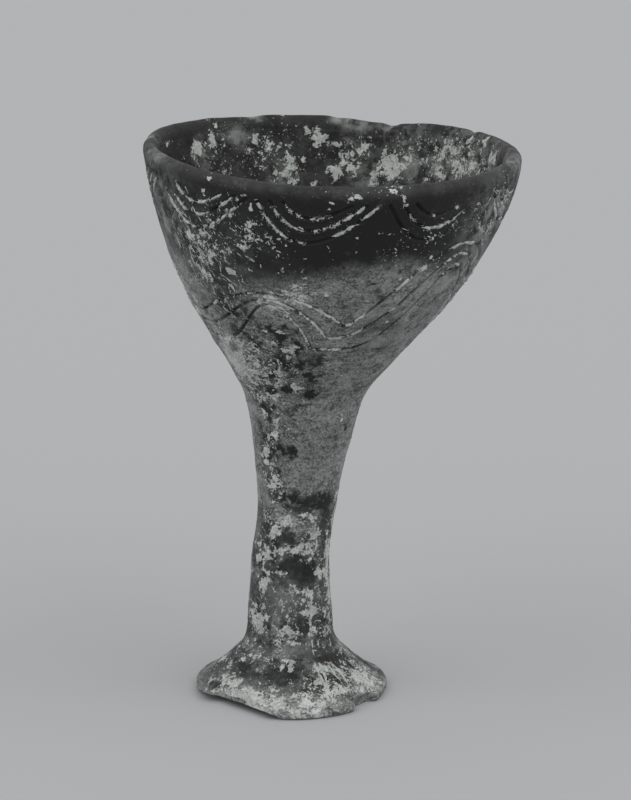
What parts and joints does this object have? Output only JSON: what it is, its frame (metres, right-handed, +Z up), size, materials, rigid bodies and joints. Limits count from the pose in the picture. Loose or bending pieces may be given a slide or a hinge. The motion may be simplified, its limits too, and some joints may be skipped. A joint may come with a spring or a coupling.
{
  "type": "pottery goblet",
  "caption": "Hand-built stemmed pottery goblet: wide conical bowl with incised, lime-filled festoons and zigzag band, tall solid stem and splayed hollow foot.",
  "frame": {"origin": "under the middle of the goblet's bounding box, on the surface that the foot stands on", "axes": "+Z up along the stem, +X towards the side that the bowl leans to, -Y towards the pictured front"},
  "size_m": [0.1184, 0.1184, 0.1808],
  "materials": {
    "fired_clay": "burnished grey-brown earthenware with smoke clouds and chalky deposit",
    "smoked_clay": "burnished black-topped earthenware with a soft sheen",
    "lime": "matt white lime paste"
  },
  "bodies": {
    "root": {"foot": "fired_clay", "stem": "fired_clay", "lower_luting_coil": "fired_clay", "upper_luting_coil": "fired_clay", "bowl_floor": "fired_clay", "floor_patch": "fired_clay", "lower_wall": "fired_clay", "upper_wall": "smoked_clay", "rim_coil": "smoked_clay", "festoon_1_outer_lime": "lime", "festoon_1_middle_lime": "lime", "festoon_1_inner_lime": "lime", "festoon_2_outer_lime": "lime", "festoon_2_middle_lime": "lime", "festoon_2_inner_lime": "lime", "festoon_3_outer_lime": "lime", "festoon_3_middle_lime": "lime", "festoon_3_inner_lime": "lime", "festoon_4_outer_lime": "lime", "festoon_4_middle_lime": "lime", "festoon_4_inner_lime": "lime", "festoon_5_outer_lime": "lime", "festoon_5_middle_lime": "lime", "festoon_5_inner_lime": "lime", "festoon_6_outer_lime": "lime", "festoon_6_middle_lime": "lime", "festoon_6_inner_lime": "lime", "festoon_7_outer_lime": "lime", "festoon_7_middle_lime": "lime", "festoon_7_inner_lime": "lime", "festoon_8_outer_lime": "lime", "festoon_8_middle_lime": "lime", "festoon_8_inner_lime": "lime", "festoon_9_outer_lime": "lime", "festoon_9_middle_lime": "lime", "festoon_9_inner_lime": "lime", "wave_1_upper_lime": "lime", "wave_1_middle_lime": "lime", "wave_1_lower_lime": "lime", "wave_2_upper_lime": "lime", "wave_2_middle_lime": "lime", "wave_2_lower_lime": "lime", "wave_3_upper_lime": "lime", "wave_3_middle_lime": "lime", "wave_3_lower_lime": "lime", "wave_4_upper_lime": "lime", "wave_4_middle_lime": "lime", "wave_4_lower_lime": "lime", "wave_5_upper_lime": "lime", "wave_5_middle_lime": "lime", "wave_5_lower_lime": "lime"}
  },
  "joints": []
}
